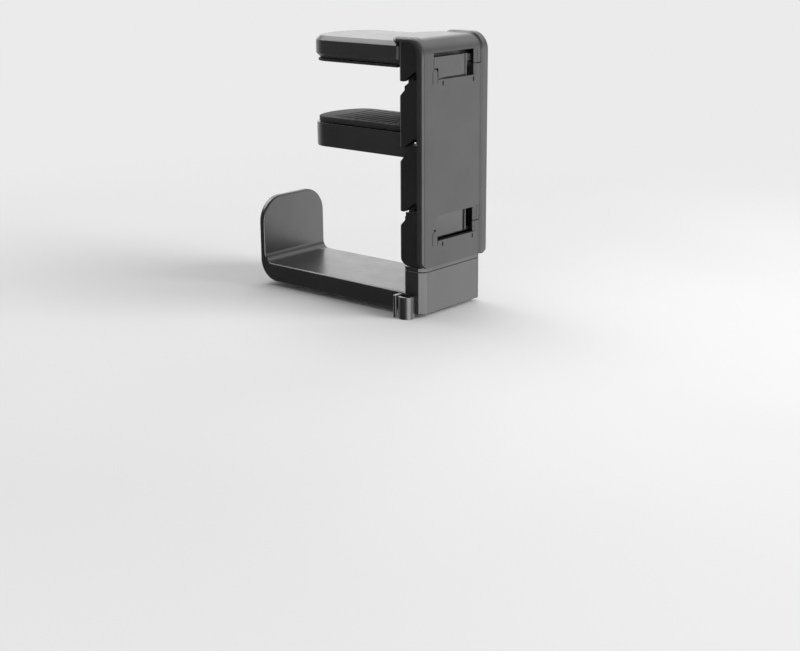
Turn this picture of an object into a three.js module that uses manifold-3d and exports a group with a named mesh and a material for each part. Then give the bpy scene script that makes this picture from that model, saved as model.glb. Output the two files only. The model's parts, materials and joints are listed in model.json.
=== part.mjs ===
// A clamp-on headphone hook for a desk edge.
// Frame: +X along the desk edge, +Y in over the desk, +Z up, millimetres.
// Origin: middle of the width, desk edge plane, top surface of the desk.

import * as THREE from 'three';
import { mergeVertices } from 'three/addons/utils/BufferGeometryUtils.js';
import Module from 'manifold-3d';

const wasm = await Module();
wasm.setup();

// ---------- driving dimensions ----------

const GAP = 0.3;                  // running clearance and fit line between pieces
const ROUND_STEPS = 4;            // curve quality of rounded corners
const TURN_SIDES = 32;            // sides of a turned piece
const SCREW_SIDES = 20;           // sides of a screw and its holes
const THROUGH = 1;                // how far a cutter passes a face

const DESK = 25;                  // gap between the two pads
const FRONT_Y = -15;              // front plane of the cover
const TOP_Z = 13.5;               // top of the cover
const BOTTOM_Z = -85.3;           // underside of the clamp housing
const COVER_HALF = 23;            // half width of the cover
const FRAME_HALF = 21.1;          // half width of the frame
const COVER_TOP = 2;              // thickness of the cover's tongue
const HOUSING_TOP = TOP_Z - COVER_TOP - GAP;
const COVER_RIM = 3;              // depth of the cover's side rim
const COVER_WALL = 1.8;           // thickness of the cover's front
const COVER_CORNER = 8;           // radius of the top front corner
const COVER_EDGE = 1.8;           // rounding of the cover's outer side edges
const PANEL_HALF = 18.5;          // half width of the sunk panel between the rims
const PANEL_SINK = 0.7;
const TIP_RADIUS = 27;            // plan radius of the tongue and of both jaw tips
const TONGUE_TIP = 12.2;

const WINDOW_HALF = 14.7;
const WINDOWS = [                 // with the slits left under and over each snap catch
  { low: -4.6, high: 6.8, under: 0.9, over: 1.8 },
  { low: -74.4, high: -63, under: 1.8, over: 0.3 },
];
const CATCH_END = 9.3;            // a snap catch ends here and leaves the rest of its window open

const WALL = 2.6;                 // side walls of the frame
const WEB = 1.1;                  // front web of the frame
const FLOOR = 3;                  // floor of the frame
const FRAME_FRONT = FRONT_Y + COVER_WALL + GAP;
const FRAME_CORNER = COVER_CORNER - COVER_WALL - GAP;
const NOTCH_PITCH = 28;
const NOTCH_TOP = -3.4;           // height of the first slot end
const SLOT_Y = -9.4;              // slot ends, and the jaw pin
const SLOT_WIDTH = 2;
const PIN_RADIUS = 0.9;
const RUNNING = 0.1;              // radial clearance of a turning fit
const PIN_Z = NOTCH_TOP - NOTCH_PITCH;

const UPPER_PAD = 1.1;
const UPPER_TIP = 58.2;
const UPPER_HALF = 20;
const LOWER_PAD = 2.4;
const LOWER_TIP = 59;
const LOWER_HALF = FRAME_HALF - WALL - 0.5;
const LOWER_BOTTOM = -38.2;

const SWIVEL_Y = -7.25;
const BLOCK_HALF = 21.1;
const BLOCK_DEPTH = 12.5;
const BLOCK_CHAMFER = 2.7;
const SEAM_Z = -87.3;             // joint plane between the neck and the turning block
const BLOCK_BOTTOM = -106.2;
const ARM_TOP = -97.5;
const ARM_HALF = 20.6;
const PADDLE_FRONT = 85.4;
const PADDLE_BACK = 88.4;
const PADDLE_TOP = -66.6;
const PADDLE_CORNER = 12;
const CLIP_PLATE_X = -20.2;
const CLIP_FRONT = -10.2;
const CLIP_BACK = 0.6;
const CLIP_TOP = -98.2;
const CLIP_BOTTOM = -108.2;
const SPINDLE_RADIUS = 3.4;
const BLOCK_TOP = SEAM_Z - GAP / 2;
const BLOCK_ROOF = 3;
const STACK_TOP = BLOCK_TOP - BLOCK_ROOF - GAP;
const NUT_BOTTOM = STACK_TOP - 6.6;
const NUT_HEIGHT = 3.2;
const HEX = 6;
const PLATE = 1.7;                // bottom plate of block and arm
const PLATE_SCREWS = [[-14, SWIVEL_Y], [14, SWIVEL_Y], [-11, 72], [11, 72]];
const PLATE_SCREW_LENGTH = 6.4;
const BOLT_RADIUS = 2;
const SCREW_RADIUS = 1.25;
const SCREW_HOLE = SCREW_RADIUS + GAP;
const BOSS_RADIUS = 3;
const UPPER_SCREW_X = 9;
const UPPER_SCREW_Y = -6;
const COLLAR_SCREW_X = 14;

// ---------- making solids ----------

// A solid from a closed three.js geometry.
function solid(geometry) {
  geometry.deleteAttribute('normal');
  geometry.deleteAttribute('uv');
  const merged = mergeVertices(geometry, 1e-4);
  const vertProperties = new Float32Array(merged.attributes.position.array);
  const triVerts = new Uint32Array(merged.index.array);
  return new wasm.Manifold(new wasm.Mesh({ numProp: 3, vertProperties, triVerts }));
}

function geometryOf(manifold) {
  const { vertProperties, triVerts } = manifold.getMesh();
  const geometry = new THREE.BufferGeometry();
  geometry.setAttribute('position', new THREE.BufferAttribute(vertProperties, 3));
  geometry.setIndex(new THREE.BufferAttribute(triVerts, 1));
  geometry.computeVertexNormals();
  return geometry;
}

// A closed outline through corners [u, v, radius]; a corner with a radius becomes an arc.
function outline(corners) {
  const shape = new THREE.Shape();
  const point = ([u, v]) => new THREE.Vector2(u, v);
  corners.forEach((here, i) => {
    const corner = point(here);
    const radius = here[2] ?? 0;
    const before = point(corners.at(i - 1)).sub(corner).normalize();
    const after = point(corners[(i + 1) % corners.length]).sub(corner).normalize();
    const half = before.angleTo(after) / 2;
    const reach = radius / Math.tan(half);
    const start = corner.clone().addScaledVector(before, reach);
    if (i === 0) shape.moveTo(start.x, start.y);
    else shape.lineTo(start.x, start.y);
    if (radius === 0) return;
    const inward = before.clone().add(after).normalize();
    const centre = corner.clone().addScaledVector(inward, radius / Math.sin(half));
    const from = start.sub(centre);
    const to = corner.clone().addScaledVector(after, reach).sub(centre);
    shape.absarc(centre.x, centre.y, radius, from.angle(), to.angle(), from.cross(to) < 0);
  });
  shape.closePath();
  return shape;
}

function rectangle(u0, u1, v0, v1, radius = 0) {
  return outline([[u0, v0, radius], [u1, v0, radius], [u1, v1, radius], [u0, v1, radius]]);
}

function extrusion(shape, length, bevel) {
  return new THREE.ExtrudeGeometry(shape, {
    depth: length - 2 * bevel,
    curveSegments: ROUND_STEPS,
    bevelEnabled: bevel > 0,
    bevelThickness: bevel,
    bevelSize: bevel,
    bevelOffset: -bevel,
    bevelSegments: 2,
  }).translate(0, 0, bevel);
}

const ALONG_X = new THREE.Matrix4().makeBasis(
  new THREE.Vector3(0, 1, 0), new THREE.Vector3(0, 0, 1), new THREE.Vector3(1, 0, 0));
const ALONG_Y = new THREE.Matrix4().makeBasis(
  new THREE.Vector3(1, 0, 0), new THREE.Vector3(0, 0, 1), new THREE.Vector3(0, -1, 0));

// A side view outline (Y, Z) carried from x0 to x1.
function alongX(shape, x0, x1, bevel = 0) {
  return solid(extrusion(shape, x1 - x0, bevel).applyMatrix4(ALONG_X).translate(x0, 0, 0));
}

// A front view outline (X, Z) carried from y0 to y1.
function alongY(shape, y0, y1) {
  return solid(extrusion(shape, y1 - y0, 0).applyMatrix4(ALONG_Y).translate(0, y1, 0));
}

// A plan outline (X, Y) carried from z0 to z1.
function alongZ(shape, z0, z1, bevel = 0) {
  return solid(extrusion(shape, z1 - z0, bevel).translate(0, 0, z0));
}

function box(x0, x1, y0, y1, z0, z1) {
  const geometry = new THREE.BoxGeometry(x1 - x0, y1 - y0, z1 - z0);
  return solid(geometry.translate((x0 + x1) / 2, (y0 + y1) / 2, (z0 + z1) / 2));
}

// An upright cylinder.
function post(radius, x, y, z0, z1, sides = TURN_SIDES) {
  const geometry = new THREE.CylinderGeometry(radius, radius, z1 - z0, sides).rotateX(Math.PI / 2);
  return solid(geometry.translate(x, y, (z0 + z1) / 2));
}

// A cylinder along X.
function rod(radius, x0, x1, y, z, sides = TURN_SIDES) {
  const geometry = new THREE.CylinderGeometry(radius, radius, x1 - x0, sides).rotateZ(Math.PI / 2);
  return solid(geometry.translate((x0 + x1) / 2, y, z));
}

// An upright turned piece from [radius, z] points that start and end on the axis.
function turned(points, sides = TURN_SIDES) {
  const profile = points.map(([radius, z]) => new THREE.Vector2(radius, z));
  return solid(new THREE.LatheGeometry(profile, sides).rotateX(Math.PI / 2));
}

function join(first, ...others) {
  return others.reduce((whole, part) => whole.add(part), first);
}

function cut(first, ...others) {
  return others.reduce((whole, part) => whole.subtract(part), first);
}

// ---------- materials ----------

function plastic(color, roughness = 0.5) {
  return new THREE.MeshStandardMaterial({ color, roughness, metalness: 0 });
}

const coverPlastic = () => plastic(0x3a3a3b, 0.45);
const framePlastic = () => plastic(0x1f1f20, 0.5);
const hookPlastic = () => plastic(0x2e2e30, 0.42);
const nylon = () => plastic(0xd8d4c8, 0.5);
const rubber = () => plastic(0x0e0e0e, 0.9);
const steel = () => new THREE.MeshStandardMaterial({ color: 0xb4b6b8, roughness: 0.3, metalness: 1 });

// ---------- shared outlines ----------

// Plan of a tongue or jaw: straight sides, curved tip with rounded shoulders.
function tipPlan(half, back, peak, shoulder) {
  const centre = peak - TIP_RADIUS;
  const meet = centre + Math.sqrt(TIP_RADIUS ** 2 - half ** 2);
  const lead = Math.asin(half / TIP_RADIUS) - shoulder / TIP_RADIUS;
  const startX = TIP_RADIUS * Math.sin(lead);
  const startY = centre + TIP_RADIUS * Math.cos(lead);
  const shape = new THREE.Shape();
  shape.moveTo(-half, back);
  shape.lineTo(half, back);
  shape.lineTo(half, meet - shoulder);
  shape.quadraticCurveTo(half, meet, startX, startY);
  shape.absarc(0, centre, TIP_RADIUS, Math.PI / 2 - lead, Math.PI / 2 + lead, false);
  shape.quadraticCurveTo(-half, meet, -half, meet - shoulder);
  shape.closePath();
  return shape;
}

// Plan of the neck and of the turning block: a rectangle with chamfered corners.
function blockPlan() {
  const half = BLOCK_HALF;
  const front = SWIVEL_Y - BLOCK_DEPTH / 2;
  const back = SWIVEL_Y + BLOCK_DEPTH / 2;
  const slant = BLOCK_CHAMFER;
  return outline([
    [-half, front + slant], [-half + slant, front], [half - slant, front], [half, front + slant],
    [half, back - slant], [half - slant, back], [-half + slant, back], [-half, back - slant],
  ]);
}

// ---------- clamp housing ----------

// Side view of an L that starts some way behind the cover's skin and reaches back and down.
function insideCover(front, top, radius) {
  const back = TONGUE_TIP + 4 * THROUGH;
  const bottom = BOTTOM_Z - 4 * THROUGH;
  return outline([[front, bottom], [back, bottom], [back, top], [front, top, radius]]);
}

function coverPlan() {
  const centre = TONGUE_TIP - TIP_RADIUS;
  const shoulder = Math.asin(COVER_HALF / TIP_RADIUS);
  const shape = new THREE.Shape();
  shape.moveTo(-COVER_HALF, FRONT_Y - THROUGH);
  shape.lineTo(COVER_HALF, FRONT_Y - THROUGH);
  shape.absarc(0, centre, TIP_RADIUS, Math.PI / 2 - shoulder, Math.PI / 2 + shoulder, false);
  shape.closePath();
  return shape;
}

function frontCover() {
  const cornerRadius = 4.5;
  const skin = alongX(insideCover(FRONT_Y, TOP_Z, COVER_CORNER), -COVER_HALF, COVER_HALF, COVER_EDGE);
  const behindRim = alongX(
    insideCover(FRONT_Y + COVER_RIM, TOP_Z - COVER_TOP, COVER_CORNER - COVER_RIM),
    -COVER_HALF - THROUGH, COVER_HALF + THROUGH);
  const front = outline([
    [-COVER_HALF, BOTTOM_Z, cornerRadius], [COVER_HALF, BOTTOM_Z, cornerRadius],
    [COVER_HALF, TOP_Z + THROUGH], [-COVER_HALF, TOP_Z + THROUGH],
  ]);
  const trimmed = cut(skin, behindRim)
    .intersect(alongZ(coverPlan(), BOTTOM_Z - THROUGH, TOP_Z + THROUGH))
    .intersect(alongY(front, FRONT_Y - THROUGH, TONGUE_TIP + THROUGH));
  const inner = FRAME_HALF + GAP;
  const wallBack = FRONT_Y + COVER_WALL;
  const deep = FRONT_Y + COVER_CORNER;
  const pocket = alongX(outline([
    [wallBack, BOTTOM_Z - THROUGH], [deep, BOTTOM_Z - THROUGH], [deep, TOP_Z - COVER_TOP],
    [wallBack, TOP_Z - COVER_TOP, COVER_CORNER - COVER_WALL],
  ]), -inner, inner);
  const sunk = alongX(outline([
    [FRONT_Y - THROUGH, BOTTOM_Z - THROUGH], [FRONT_Y + PANEL_SINK, BOTTOM_Z - THROUGH],
    [FRONT_Y + PANEL_SINK, TOP_Z - PANEL_SINK, COVER_CORNER - PANEL_SINK],
    [TONGUE_TIP + THROUGH, TOP_Z - PANEL_SINK], [TONGUE_TIP + THROUGH, TOP_Z + THROUGH],
    [FRONT_Y - THROUGH, TOP_Z + THROUGH],
  ]), -PANEL_HALF, PANEL_HALF);
  return cut(trimmed, pocket, sunk, ...WINDOWS.flatMap(coverWindow));
}

// One window of the cover with two relief slits under it and one beside it.
function coverWindow({ low, high }) {
  const slitX = 10.5;
  const slitHalf = 0.4;
  const slitTop = low - 0.7;
  const slitLength = 2;
  const sideSlitZ = high - 6.4;
  const sideSlitHalf = 0.25;
  const sideSlitEnd = 17.6;
  const through = (x0, x1, z0, z1) => box(x0, x1, FRONT_Y - THROUGH, FRONT_Y + COVER_RIM, z0, z1);
  return [
    through(-WINDOW_HALF, WINDOW_HALF, low, high),
    through(-slitX - slitHalf, -slitX + slitHalf, slitTop - slitLength, slitTop),
    through(slitX - slitHalf, slitX + slitHalf, slitTop - slitLength, slitTop),
    through(WINDOW_HALF - THROUGH, sideSlitEnd, sideSlitZ - sideSlitHalf, sideSlitZ + sideSlitHalf),
  ];
}

// One hook-shaped notch: a mouth in the rear edge, a slot that rises, and a seat for the pin.
function notch(seatZ) {
  const radius = SLOT_WIDTH / 2;
  const foot = new THREE.Vector2(-2.6, seatZ - 3.2);
  const turn = new THREE.Vector2(SLOT_Y, seatZ + 1.5);
  const run = foot.clone().sub(turn);
  const half = FRAME_HALF + THROUGH;
  const mouth = outline([
    [2, seatZ - 1.5], [-3.6, seatZ - 1.9, 0.5], [-3.6, seatZ - 5.4, 0.5],
    [-0.6, seatZ - 8.4], [2, seatZ - 11],
  ]);
  const slot = rectangle(-radius, run.length(), -radius, radius, radius - 0.01);
  const rising = extrusion(slot, 2 * half, 0).rotateZ(run.angle()).translate(turn.x, turn.y, 0);
  const seat = rectangle(SLOT_Y - radius, SLOT_Y + radius, seatZ - radius, turn.y + radius, radius - 0.01);
  return join(alongX(mouth, -half, half), alongX(seat, -half, half),
    solid(rising.applyMatrix4(ALONG_X).translate(-half, 0, 0)));
}

// The snap catch seen in a window: a pad that slopes away from the cover, beside an open slot.
function windowCatch({ low, high, under, over }) {
  const toe = 3;
  const left = -WINDOW_HALF + GAP;
  const back = FRAME_FRONT + WEB;
  const pad = outline([
    [left, back], [CATCH_END, back], [CATCH_END, FRAME_FRONT], [CATCH_END - toe, FRAME_FRONT - 0.6],
    [left, FRAME_FRONT - 1.2],
  ]);
  return alongZ(pad, low + under, high - over);
}

function catchSlot({ low, high }) {
  return box(CATCH_END, WINDOW_HALF, FRAME_FRONT - THROUGH, FRAME_FRONT + WEB + THROUGH, low, high);
}

function clampFrame() {
  const inside = FRAME_HALF - WALL;
  const webTop = WINDOWS[0].high + 1;
  const webBack = FRAME_FRONT + WEB;
  const shelfTop = UPPER_PAD;
  const shelfBottom = -1.2;
  const floorTop = BOTTOM_Z + FLOOR;
  const ribHalf = 0.8;
  const ribs = [-17.4, -45.4, -73].map((z) => [z - ribHalf, z + ribHalf]);
  const ribBack = -4;
  const side = outline([
    [FRAME_FRONT, BOTTOM_Z], [0, BOTTOM_Z, 6], [0, HOUSING_TOP], [FRAME_FRONT, HOUSING_TOP, FRAME_CORNER],
  ]);
  const block = alongX(side, -FRAME_HALF, FRAME_HALF);
  const openTop = HOUSING_TOP + THROUGH;
  const jawRoom = box(-inside, inside, webBack, THROUGH, shelfTop, openTop);
  const aboveWeb = box(-inside, inside, FRAME_FRONT - THROUGH, webBack + THROUGH, webTop, openTop);
  const levels = [shelfBottom, ...ribs.flatMap(([low, high]) => [high, low]), floorTop];
  const rooms = [0, 2, 4, 6].map((i) => box(-inside, inside, webBack, THROUGH, levels[i + 1], levels[i]));
  const behindRibs = box(-inside, inside, ribBack, THROUGH, floorTop, shelfBottom);
  const hollow = cut(block, jawRoom, aboveWeb, ...rooms, behindRibs, ...WINDOWS.map(catchSlot));
  const notches = [0, 1, 2].map((i) => notch(NOTCH_TOP - i * NOTCH_PITCH));
  const screwHoles = [-UPPER_SCREW_X, UPPER_SCREW_X].map((x) =>
    post(SCREW_HOLE, x, UPPER_SCREW_Y, shelfBottom - THROUGH, shelfTop + THROUGH, SCREW_SIDES));
  const bossHoles = [-COLLAR_SCREW_X, COLLAR_SCREW_X].map((x) =>
    post(BOSS_RADIUS + GAP, x, SWIVEL_Y, BOTTOM_Z - THROUGH, floorTop + THROUGH, SCREW_SIDES));
  const boltHole = post(BOLT_RADIUS + GAP, 0, SWIVEL_Y, BOTTOM_Z - THROUGH, floorTop + THROUGH);
  const notched = cut(join(hollow, ...WINDOWS.map(windowCatch)), ...notches);
  const closing = rearWall(floorTop).map((wall) => wall.intersect(block));
  return cut(join(notched, ...windowFins(webBack), ...closing), ...screwHoles, ...bossHoles, boltHole);
}

// Upright fins behind the ends of the windows.
function windowFins(webBack) {
  const finX = 15.2;
  const finBack = -1.6;
  const heights = [[-17.4, 0], [-77, -58]];
  return [-finX - 1, finX].flatMap((x) => heights.map(([z0, z1]) =>
    box(x, x + 1, webBack - WEB / 2, finBack, z0, z1)));
}

// The wall that closes the back below the lowest notch, set in where a mouth opens beside it.
function rearWall(floorTop) {
  const wallFront = -1.6;
  const rooted = 0.5;
  const outer = FRAME_HALF - WALL + rooted;
  const mouthLow = -71;
  const top = -62.5;
  const inner = 16.4;
  return [
    box(-outer, outer, wallFront, 0, floorTop - rooted, mouthLow),
    box(-inner, inner, wallFront, 0, mouthLow - rooted, top),
  ];
}

// ---------- upper jaw ----------

function upperJaw() {
  const top = HOUSING_TOP;
  const bottom = UPPER_PAD + GAP;
  const rootHalf = FRAME_HALF - WALL - GAP;
  const rootFront = FRAME_FRONT + WEB + GAP;
  const slab = alongZ(tipPlan(UPPER_HALF, GAP, UPPER_TIP, 6), bottom, top, 2);
  const root = alongX(outline([
    [rootFront, bottom], [3, bottom], [3, top], [rootFront, top, 4.5],
  ]), -rootHalf, rootHalf);
  const skin = 2.4;
  const pocketX = [[-17.4, -9], [-7, 7], [9, 17.4]];
  const pocketY = [[5, 19], [21, 35], [37, 44]];
  const pockets = pocketX.flatMap(([x0, x1]) => pocketY.map(([y0, y1]) =>
    box(x0, x1, y0, y1, bottom - THROUGH, top - skin)));
  const screwHoles = [-UPPER_SCREW_X, UPPER_SCREW_X].flatMap((x) => [
    post(SCREW_HOLE, x, UPPER_SCREW_Y, bottom - THROUGH, top + THROUGH, SCREW_SIDES),
    post(3, x, UPPER_SCREW_Y, top - 2.2, top + THROUGH, SCREW_SIDES),
  ]);
  return cut(join(slab, root), ...pockets, ...screwHoles);
}

function upperJawPad() {
  return alongZ(tipPlan(UPPER_HALF - 1.2, 2.5, UPPER_TIP - 1.4, 5), 0, UPPER_PAD, 0.4);
}

// A pan-head screw with its head on top, from the top of the head down to the tip.
function screw(headRadius, headHeight, headTop, tip) {
  const headBottom = headTop - headHeight;
  const chamfer = 0.3;
  const body = turned([
    [0, tip], [SCREW_RADIUS / 2, tip], [SCREW_RADIUS, tip + 0.8], [SCREW_RADIUS, headBottom],
    [headRadius, headBottom], [headRadius, headTop - chamfer], [headRadius - chamfer, headTop], [0, headTop],
  ], SCREW_SIDES);
  const reach = 1.3;
  const blade = 0.35;
  const deep = headTop - headHeight * 0.6;
  return cut(body, box(-reach, reach, -blade, blade, deep, headTop + THROUGH),
    box(-blade, blade, -reach, reach, deep, headTop + THROUGH));
}

// ---------- lower jaw, about its pin ----------

const SPRING_X = 8;               // middle of each spring
const SPRING_ROOM = 3.4;          // half width of its slot in the jaw
const SPRING_TURNS = 4.25;
const COIL_RADIUS = 1.7;
const WIRE_RADIUS = 0.4;
const SPRING_LEG = 6;
const KNUCKLE_RADIUS = 2.1;
const KNUCKLES = [[-LOWER_HALF, -12], [-4, 4], [12, LOWER_HALF]];
const LOWER_SKIN = 2.2;

function lowerJaw() {
  const bottom = LOWER_BOTTOM - PIN_Z;
  const top = -DESK - LOWER_PAD - GAP - PIN_Z;
  const rear = 1.8;
  const tip = LOWER_TIP - SLOT_Y;
  const side = outline([
    [rear, bottom, 2.5], [tip + THROUGH, bottom, 9], [tip + THROUGH, top], [rear, top, 1],
  ]);
  const body = alongX(side, -LOWER_HALF, LOWER_HALF)
    .intersect(alongZ(tipPlan(LOWER_HALF, -THROUGH, tip, 6), bottom - THROUGH, top + THROUGH));
  const pocketX = [[-15.6, -6], [-4, 4], [6, 15.6]];
  const pocketY = [[13, 27], [29, 41], [43, 52]];
  const pockets = pocketX.flatMap(([x0, x1]) => pocketY.map(([y0, y1]) =>
    box(x0, x1, y0, y1, bottom + LOWER_SKIN, top + THROUGH)));
  const knuckles = KNUCKLES.map(([x0, x1]) => join(rod(KNUCKLE_RADIUS, x0, x1, 0, 0),
    box(x0, x1, 0, rear + THROUGH, -KNUCKLE_RADIUS, KNUCKLE_RADIUS)));
  const roof = COIL_RADIUS + WIRE_RADIUS + GAP;
  const springRooms = [-SPRING_X, SPRING_X].map((x) =>
    box(x - SPRING_ROOM, x + SPRING_ROOM, -THROUGH, SPRING_LEG + THROUGH, bottom - THROUGH, roof));
  const bore = rod(PIN_RADIUS + RUNNING, -FRAME_HALF, FRAME_HALF, 0, 0);
  return cut(join(body, ...knuckles), ...pockets, ...springRooms, bore);
}

function lowerJawPad() {
  const top = -DESK - PIN_Z;
  const back = 11.5;
  return alongZ(tipPlan(LOWER_HALF - 1.2, back, LOWER_TIP - SLOT_Y - 1.4, 5), top - LOWER_PAD, top, 0.4);
}

// The wire's centre line: a leg under the jaw, the coil about the pin, a leg down the frame's web.
class SpringLine extends THREE.Curve {
  constructor(side) {
    super();
    this.side = side;
    this.coilLength = 2 * Math.PI * COIL_RADIUS * SPRING_TURNS;
    this.length = this.coilLength + 2 * SPRING_LEG;
  }

  getPoint(t, target = new THREE.Vector3()) {
    const way = t * this.length - SPRING_LEG;
    const along = THREE.MathUtils.clamp(way / this.coilLength, 0, 1);
    const angle = Math.PI / 2 + 2 * Math.PI * SPRING_TURNS * along;
    const jawLeg = Math.max(0, -way);
    const frameLeg = Math.max(0, way - this.coilLength);
    const pitch = 2 * WIRE_RADIUS + 0.25;
    const across = (along - 0.5) * SPRING_TURNS * pitch;
    return target.set(this.side * (SPRING_X + across),
      COIL_RADIUS * Math.cos(angle) + jawLeg, COIL_RADIUS * Math.sin(angle) - frameLeg);
  }
}

function jawSpring(side) {
  const wire = new THREE.Shape().absarc(0, 0, WIRE_RADIUS, 0, 2 * Math.PI, false);
  return solid(new THREE.ExtrudeGeometry(wire, {
    steps: 80, curveSegments: 3, bevelEnabled: false, extrudePath: new SpringLine(side),
  }));
}

// ---------- swivel ----------

function swivelCollar() {
  const top = BOTTOM_Z - GAP / 2;
  const bossTop = BOTTOM_Z + FLOOR - GAP;
  const rooted = top - 0.5;
  const plate = alongZ(blockPlan(), SEAM_Z + GAP / 2, top);
  const spindle = post(SPINDLE_RADIUS, 0, SWIVEL_Y, SEAM_Z - BLOCK_ROOF, rooted);
  const bosses = [-COLLAR_SCREW_X, COLLAR_SCREW_X].map((x) =>
    post(BOSS_RADIUS, x, SWIVEL_Y, rooted, bossTop, SCREW_SIDES));
  const holes = [-COLLAR_SCREW_X, COLLAR_SCREW_X].map((x) =>
    post(SCREW_HOLE, x, SWIVEL_Y, rooted - GAP, bossTop + THROUGH, SCREW_SIDES));
  const bore = post(BOLT_RADIUS + GAP, 0, SWIVEL_Y, SEAM_Z - BLOCK_ROOF - THROUGH, top + THROUGH);
  return cut(join(plate, spindle, ...bosses), ...holes, bore);
}

// Ring washer around the bolt.
function washer(outer, z0, z1) {
  return cut(post(outer, 0, SWIVEL_Y, z0, z1),
    post(BOLT_RADIUS + GAP, 0, SWIVEL_Y, z0 - THROUGH, z1 + THROUGH));
}

// Thin spring washer with three waves.
function waveWasher() {
  const inner = BOLT_RADIUS + GAP;
  const outer = 4.2;
  const half = 0.2;
  const wave = 0.25;
  const ring = new THREE.LatheGeometry([
    new THREE.Vector2(inner, -half), new THREE.Vector2(outer, -half), new THREE.Vector2(outer, half),
    new THREE.Vector2(inner, half), new THREE.Vector2(inner, -half),
  ], TURN_SIDES).rotateX(Math.PI / 2);
  const points = ring.attributes.position;
  for (let i = 0; i < points.count; i += 1) {
    const angle = Math.atan2(points.getY(i), points.getX(i));
    points.setZ(i, points.getZ(i) + wave * Math.sin(3 * angle));
  }
  return solid(ring.translate(0, SWIVEL_Y, STACK_TOP - 1.75));
}

function swivelBolt() {
  const headBottom = BOTTOM_Z + FLOOR + GAP;
  const head = post(3.5, 0, SWIVEL_Y, headBottom, headBottom + 2.8, HEX);
  const shaft = post(BOLT_RADIUS, 0, SWIVEL_Y, NUT_BOTTOM - THROUGH, headBottom + THROUGH);
  return join(head, shaft);
}

function swivelNut() {
  const top = NUT_BOTTOM + NUT_HEIGHT;
  return cut(post(3.9, 0, SWIVEL_Y, NUT_BOTTOM, top, HEX),
    post(BOLT_RADIUS + GAP, 0, SWIVEL_Y, NUT_BOTTOM - THROUGH, top + THROUGH));
}

// ---------- turning block, arm and paddle ----------

// Plan of the bottom plate, narrower along the arm than in the block.
function platePlan(grow = 0) {
  const block = 18.8 + grow;
  const arm = 17.2 + grow;
  const front = SWIVEL_Y - BLOCK_DEPTH / 2 + 1.6 - grow;
  const step = -2.6 + grow;
  const back = 79 + grow;
  const corner = 2;
  return outline([
    [-block, front], [block, front], [block, step], [arm, step + block - arm],
    [arm, back, corner], [-arm, back, corner], [-arm, step + block - arm], [-block, step],
  ]);
}

function hookArm() {
  const block = alongZ(blockPlan(), BLOCK_BOTTOM, BLOCK_TOP);
  const side = outline([
    [SWIVEL_Y, BLOCK_BOTTOM], [PADDLE_BACK, BLOCK_BOTTOM, 10], [PADDLE_BACK, PADDLE_TOP],
    [PADDLE_FRONT, PADDLE_TOP], [PADDLE_FRONT, ARM_TOP, 4], [SWIVEL_Y, ARM_TOP],
  ]);
  const frontView = outline([
    [-ARM_HALF, BLOCK_BOTTOM - THROUGH], [ARM_HALF, BLOCK_BOTTOM - THROUGH],
    [ARM_HALF, PADDLE_TOP, PADDLE_CORNER], [-ARM_HALF, PADDLE_TOP, PADDLE_CORNER],
  ]);
  const arm = alongX(side, -ARM_HALF, ARM_HALF, 0.6)
    .intersect(alongY(frontView, SWIVEL_Y, PADDLE_BACK + THROUGH));
  const open = BLOCK_BOTTOM - THROUGH;
  const roomWall = 1.5;
  const roomDepth = BLOCK_DEPTH / 2 - roomWall;
  const blockRoom = box(-19.1, 19.1, SWIVEL_Y - roomDepth, SWIVEL_Y + roomDepth,
    open, BLOCK_TOP - BLOCK_ROOF);
  const armSkin = 2.5;
  const armRooms = [[0.4, 25], [26.8, 51], [52.8, 77.5]].map(([y0, y1]) =>
    box(-17.5, 17.5, y0, y1, open, ARM_TOP - armSkin));
  const plateTop = BLOCK_BOTTOM + PLATE + GAP;
  const plateRoom = alongZ(platePlan(GAP), open, plateTop);
  const clipRoom = box(-BLOCK_HALF - THROUGH, CLIP_PLATE_X + GAP, CLIP_FRONT - GAP, CLIP_BACK + GAP,
    open, CLIP_TOP + GAP);
  const bosses = PLATE_SCREWS.map(([x, y]) =>
    post(BOSS_RADIUS, x, y, plateTop, (y < 0 ? BLOCK_TOP : ARM_TOP) - THROUGH, SCREW_SIDES));
  const holes = PLATE_SCREWS.map(([x, y]) =>
    post(SCREW_HOLE, x, y, BLOCK_BOTTOM, BLOCK_BOTTOM + PLATE_SCREW_LENGTH + GAP, SCREW_SIDES));
  const bore = post(SPINDLE_RADIUS + RUNNING, 0, SWIVEL_Y, BLOCK_BOTTOM, BLOCK_TOP + THROUGH);
  const hollow = cut(join(block, arm), blockRoom, ...armRooms, plateRoom);
  return cut(join(hollow, ...bosses), ...holes, bore, clipRoom);
}

function armBottomCover() {
  const bottom = BLOCK_BOTTOM + 0.05;
  const plate = alongZ(platePlan(), bottom, BLOCK_BOTTOM + PLATE);
  const holes = PLATE_SCREWS.flatMap(([x, y]) => [
    post(SCREW_HOLE, x, y, bottom - THROUGH, bottom + PLATE + THROUGH, SCREW_SIDES),
    post(2.7, x, y, bottom - THROUGH, BLOCK_BOTTOM + 1.1, SCREW_SIDES),
  ]);
  return cut(plate, ...holes);
}

// ---------- cable clip ----------

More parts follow.
